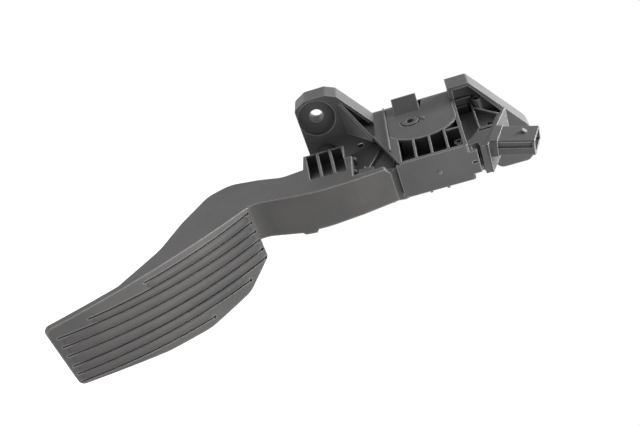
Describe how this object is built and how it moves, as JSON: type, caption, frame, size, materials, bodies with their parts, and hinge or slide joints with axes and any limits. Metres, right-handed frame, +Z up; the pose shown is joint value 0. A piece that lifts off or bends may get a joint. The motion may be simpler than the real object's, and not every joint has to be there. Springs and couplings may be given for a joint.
{
  "type": "accelerator pedal sensor",
  "caption": "Hanging accelerator pedal on a bolt-on bracket, with a grooved pad, a pivot housing with return springs, and a position sensor with a plug socket.",
  "frame": {"origin": "centre of the lower bolt hole, on the mounting plane", "axes": "+Z up from the pad to the plug, -Y towards the driver, +X along the pivot from the cover to the sensor"},
  "size_m": [0.0823, 0.1486, 0.2844],
  "materials": {
    "housing_plastic": "fine matte glass-filled moulding",
    "pedal_plastic": "matte glass-filled moulding with a faint flow pattern",
    "sensor_plastic": "smooth matte moulding",
    "bush_plastic": "unfilled bearing plastic",
    "buffer_rubber": "soft moulded rubber",
    "pin_steel": "ground and zinc plated",
    "spring_steel": "oiled spring wire",
    "magnet_metal": "nickel plated magnet",
    "board_laminate": "green solder mask",
    "chip_plastic": "moulded package",
    "capacitor_ceramic": "fired body with bright ends",
    "terminal_metal": "tinned flat terminals"
  },
  "bodies": {
    "bracket": {"pedal_housing": "housing_plastic", "pivot_cover": "housing_plastic", "cover_side_bush": "bush_plastic", "sensor_side_bush": "bush_plastic", "rest_buffer": "buffer_rubber", "stop_buffer": "buffer_rubber", "cover_side_spring": "spring_steel", "sensor_side_spring": "spring_steel", "sensor_housing": "sensor_plastic", "sensor_lid": "sensor_plastic", "circuit_board": "board_laminate", "hall_sensors": "chip_plastic", "board_capacitors": "capacitor_ceramic", "connector_pins": "terminal_metal", "sensor_seal": "buffer_rubber", "sensor_screws": "pin_steel"},
    "pedal": {"pedal_arm": "pedal_plastic", "pivot_pin": "pin_steel", "friction_shoe": "bush_plastic", "magnet_holder": "sensor_plastic", "sensor_magnet": "magnet_metal"}
  },
  "joints": [
    {"name": "pedal_hinge", "type": "hinge", "parent": "bracket", "child": "pedal", "pos_m": [0.0247, -0.027, 0.055], "axis": [1, 0, 0], "range_deg": [0, 15], "stiffness_Nm_per_rad": 7.6, "springref_deg": -14.9, "deforming": ["cover_side_spring", "sensor_side_spring"]}
  ]
}
